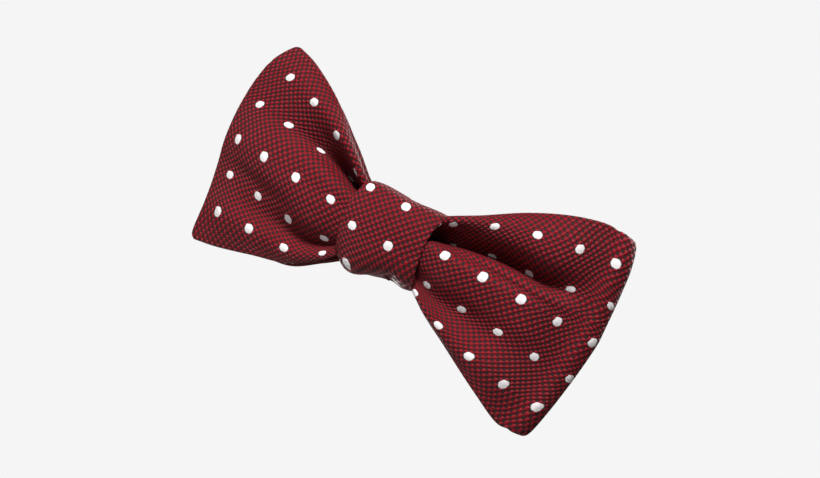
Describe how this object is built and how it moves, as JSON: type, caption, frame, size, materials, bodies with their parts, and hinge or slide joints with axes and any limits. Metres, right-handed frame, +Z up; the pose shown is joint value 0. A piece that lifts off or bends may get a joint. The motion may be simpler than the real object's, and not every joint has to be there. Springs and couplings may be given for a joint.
{
  "type": "bow tie",
  "caption": "Clip-on butterfly bow tie of spotted woven silk: bound loops and blades, a wrapped knot, and a hinged spring clip for a shirt collar.",
  "frame": {"origin": "centre of the clip plate's rear face, the plane that the collar lies against", "axes": "+X to the viewer's right as worn, the front faces -Y, +Z up"},
  "size_m": [0.1208, 0.0207, 0.0628],
  "materials": {
    "spotted_silk": "two-tone crimson and black woven silk with white satin spots",
    "interlining": "brushed wool and cotton interlining",
    "thread": "twisted polyester sewing thread",
    "clip_metal": "nickel-plated pressed steel, satin",
    "pin_metal": "plated riveted pin",
    "spring_steel": "drawn spring wire"
  },
  "bodies": {
    "root": {"front_bow_silk": "spotted_silk", "back_bow_silk": "spotted_silk", "knot_band_silk": "spotted_silk", "front_bow_interlining": "interlining", "back_bow_interlining": "interlining", "knot_band_interlining": "interlining", "knot_band_stitches": "thread", "waist_binding_thread": "thread", "plate_tack_stitches": "thread", "clip_plate": "clip_metal", "jaw_pin_right": "pin_metal", "jaw_pin_left": "pin_metal", "jaw_spring_right": "spring_steel", "jaw_spring_left": "spring_steel"},
    "jaw_right": {"clip_jaw_right": "clip_metal"},
    "jaw_left": {"clip_jaw_left": "clip_metal"}
  },
  "joints": [
    {"name": "right_jaw_hinge", "type": "hinge", "parent": "root", "child": "jaw_right", "pos_m": [0.02, 0.00115, 0], "axis": [0, 0, 1], "range_deg": [0, 28], "stiffness_Nm_per_rad": 0.008, "springref_deg": -85.94, "deforming": ["jaw_spring_right"]},
    {"name": "left_jaw_hinge", "type": "hinge", "parent": "root", "child": "jaw_left", "pos_m": [-0.02, 0.00115, 0], "axis": [0, 0, -1], "range_deg": [0, 28], "stiffness_Nm_per_rad": 0.008, "springref_deg": -85.94, "deforming": ["jaw_spring_left"]}
  ]
}
